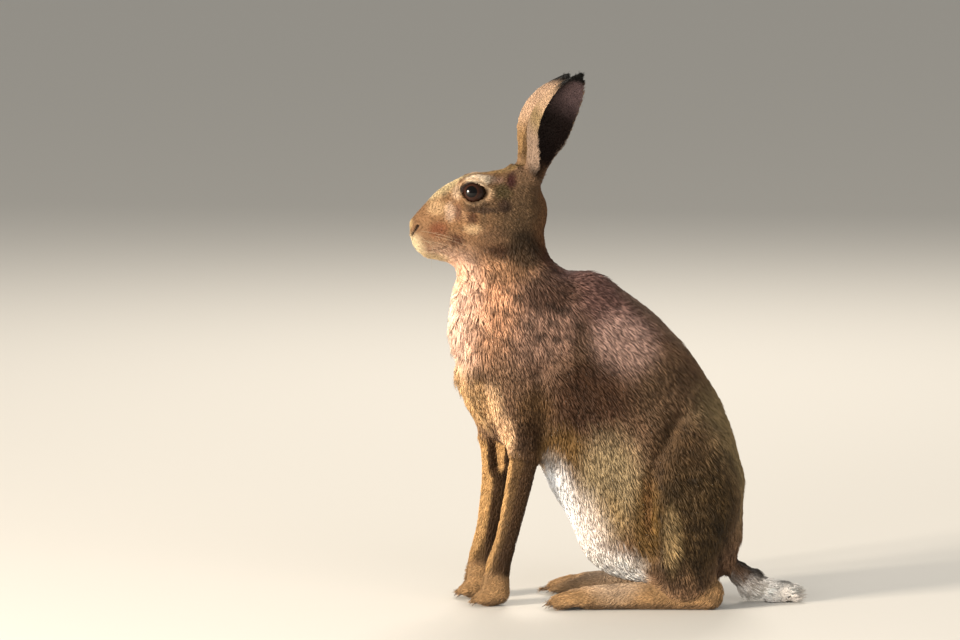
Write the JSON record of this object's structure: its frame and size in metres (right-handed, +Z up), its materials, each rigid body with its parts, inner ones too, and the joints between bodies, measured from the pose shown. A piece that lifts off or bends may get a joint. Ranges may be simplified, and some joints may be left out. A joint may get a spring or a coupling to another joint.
{
  "type": "brown hare",
  "caption": "Life-size brown hare sitting upright on straight forelegs, looking ahead with raised black-tipped ears, in a tan and brown grizzled coat.",
  "frame": {"origin": "middle of the footprint box on the floor, under the seated hare", "axes": "+Z up along the ears, -X the way the hare looks, -Y its left side"},
  "size_m": [0.3543, 0.1538, 0.4814],
  "materials": {
    "fur": "short matt animal coat, tan and brown with darker ticking",
    "eye": "wet dark amber eye"
  },
  "bodies": {
    "root": {"head": "fur", "ear_left": "fur", "ear_right": "fur", "eye_left": "eye", "eye_right": "eye", "neck": "fur", "torso": "fur", "rump": "fur", "tail": "fur", "upper_arm_left": "fur", "upper_arm_right": "fur", "forearm_left": "fur", "forearm_right": "fur", "forepaw_left": "fur", "forepaw_right": "fur", "thigh_left": "fur", "thigh_right": "fur", "shank_left": "fur", "shank_right": "fur", "hind_foot_left": "fur", "hind_foot_right": "fur"}
  },
  "joints": []
}
